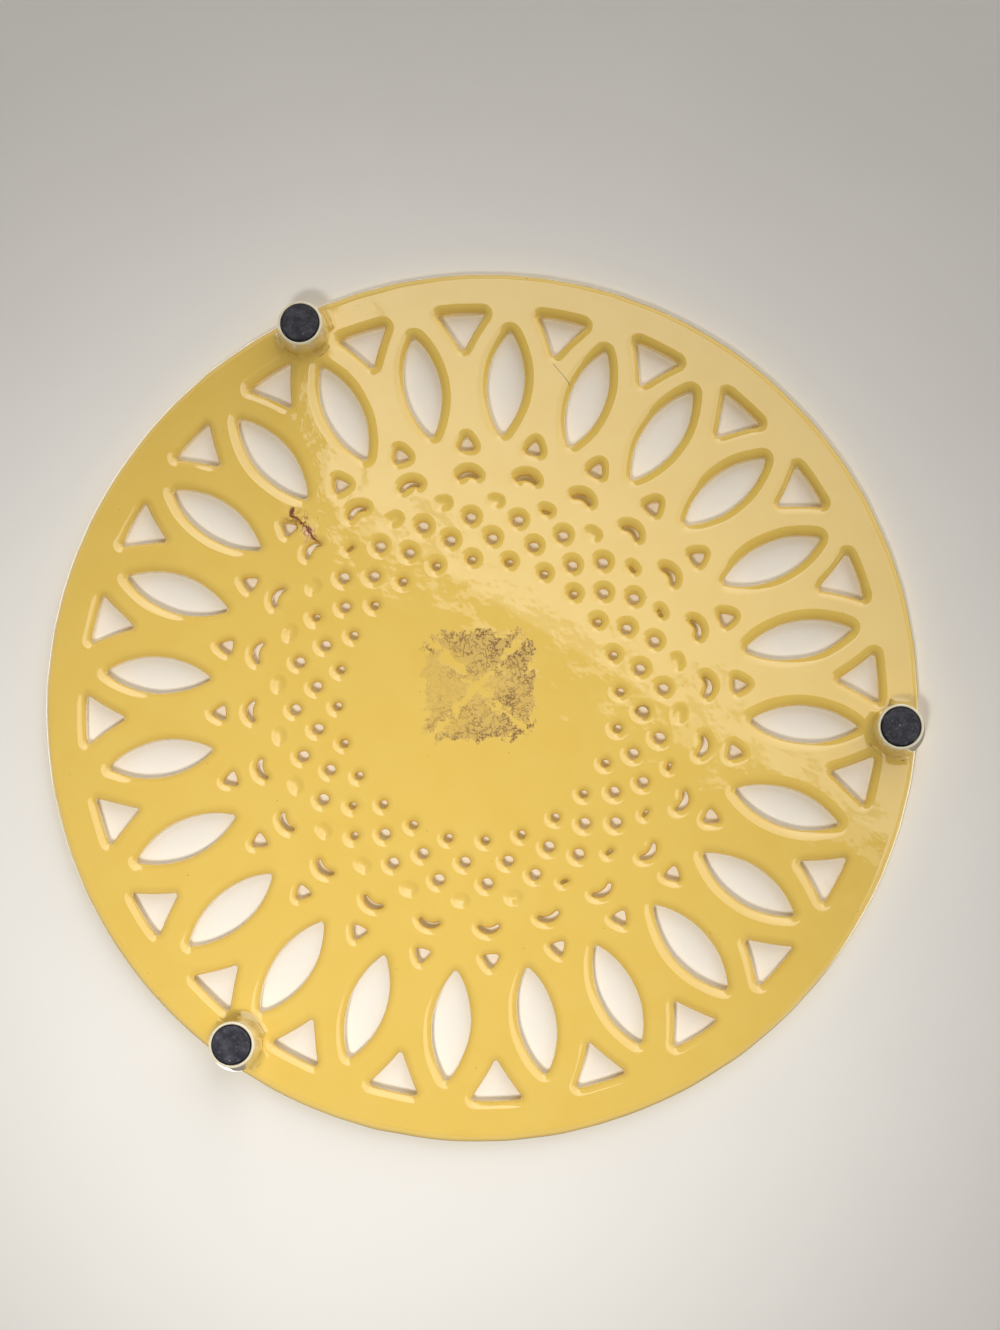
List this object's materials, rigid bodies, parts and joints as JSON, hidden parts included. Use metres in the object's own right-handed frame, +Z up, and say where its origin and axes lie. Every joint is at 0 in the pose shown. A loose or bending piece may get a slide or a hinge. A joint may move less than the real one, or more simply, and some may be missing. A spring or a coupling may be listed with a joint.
{
  "type": "trivet",
  "caption": "Round cast trivet on three short rubber-tipped legs, its plate pierced by concentric rings of almond, triangle, crescent and round openings.",
  "frame": {"origin": "on the vertical axis through the middle of the plate, in the plane of the rubber faces that stand on the table", "axes": "+Z up from the table to the face that carries the pot, +Y from the middle towards the first leg, +X to the right of it"},
  "size_m": [0.225, 0.2267, 0.0155],
  "materials": {
    "enamelled_iron": "cast iron under a gloss warm yellow vitreous enamel",
    "foot_rubber": "matt black rubber, slightly crumbly"
  },
  "bodies": {
    "root": {"casting": "enamelled_iron", "rubber_plug_1": "foot_rubber", "rubber_plug_2": "foot_rubber", "rubber_plug_3": "foot_rubber"}
  },
  "joints": []
}
